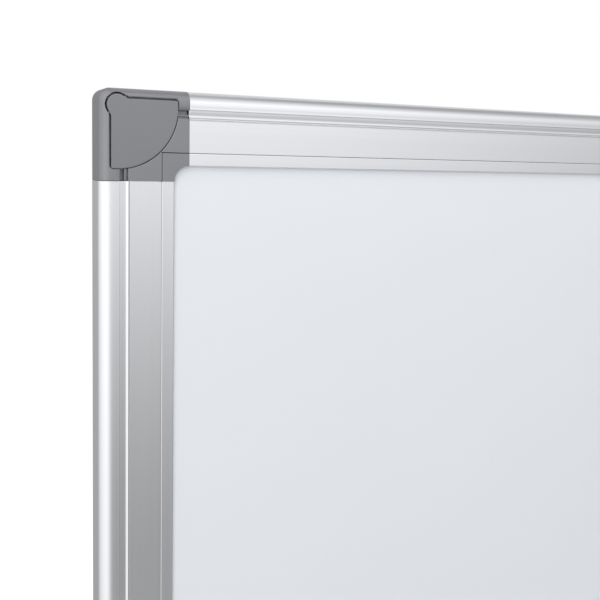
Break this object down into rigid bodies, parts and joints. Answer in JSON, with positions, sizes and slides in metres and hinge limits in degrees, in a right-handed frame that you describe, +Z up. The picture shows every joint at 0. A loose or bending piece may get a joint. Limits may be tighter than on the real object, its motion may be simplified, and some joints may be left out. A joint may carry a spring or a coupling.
{
  "type": "magnetic whiteboard",
  "caption": "Wall-hung magnetic dry-wipe board in an aluminium rail frame with plastic corners, tip-up screw covers and a clip-on sliding pen tray.",
  "frame": {"origin": "middle of the board on the plane of the wall, which the rear faces of the frame lie on", "axes": "+X along the width to the viewer's right, +Y into the wall, +Z up; the writing surface faces -Y"},
  "size_m": [0.9, 0.0632, 0.6016],
  "materials": {
    "anodised_aluminium": "satin anodised extrusion",
    "tray_aluminium": "satin anodised extrusion",
    "corner_plastic": "fine-textured grey moulding",
    "cover_plastic": "fine-textured grey moulding",
    "lacquered_steel": "gloss dry-wipe lacquer",
    "fibre_core": "raw soft fibreboard",
    "galvanised_steel": "galvanised",
    "zinc_screw": "bright zinc"
  },
  "bodies": {
    "frame": {"rail_top": "anodised_aluminium", "rail_bottom": "anodised_aluminium", "rail_left": "anodised_aluminium", "rail_right": "anodised_aluminium", "corner_top_left": "corner_plastic", "corner_top_right": "corner_plastic", "corner_bottom_left": "corner_plastic", "corner_bottom_right": "corner_plastic", "rail_screw_top_1": "zinc_screw", "rail_screw_top_2": "zinc_screw", "rail_screw_bottom_1": "zinc_screw", "rail_screw_bottom_2": "zinc_screw", "rail_screw_left_1": "zinc_screw", "rail_screw_left_2": "zinc_screw", "rail_screw_right_1": "zinc_screw", "rail_screw_right_2": "zinc_screw", "writing_sheet": "lacquered_steel", "core_board": "fibre_core", "backing_sheet": "galvanised_steel"},
    "screw_cover_top_left": {"cover_top_left": "cover_plastic"},
    "screw_cover_top_right": {"cover_top_right": "cover_plastic"},
    "screw_cover_bottom_left": {"cover_bottom_left": "cover_plastic"},
    "screw_cover_bottom_right": {"cover_bottom_right": "cover_plastic"},
    "tray": {"pen_tray": "tray_aluminium", "tray_cap_left": "corner_plastic", "tray_cap_right": "corner_plastic"}
  },
  "joints": [
    {"name": "cover_top_left_tip", "type": "hinge", "parent": "frame", "child": "screw_cover_top_left", "pos_m": [-0.4442, -0.0114, 0.2942], "axis": [-0.7071, 0, -0.7071], "range_deg": [0, 90]},
    {"name": "cover_top_right_tip", "type": "hinge", "parent": "frame", "child": "screw_cover_top_right", "pos_m": [0.4442, -0.0114, 0.2942], "axis": [-0.7071, 0, 0.7071], "range_deg": [0, 90]},
    {"name": "cover_bottom_left_tip", "type": "hinge", "parent": "frame", "child": "screw_cover_bottom_left", "pos_m": [-0.4442, -0.0114, -0.2942], "axis": [0.7071, 0, -0.7071], "range_deg": [0, 90]},
    {"name": "cover_bottom_right_tip", "type": "hinge", "parent": "frame", "child": "screw_cover_bottom_right", "pos_m": [0.4442, -0.0114, -0.2942], "axis": [0.7071, 0, 0.7071], "range_deg": [0, 90]},
    {"name": "tray_slide", "type": "slide", "parent": "frame", "child": "tray", "axis": [1, 0, 0], "range_m": [-0.265, 0.265]}
  ]
}
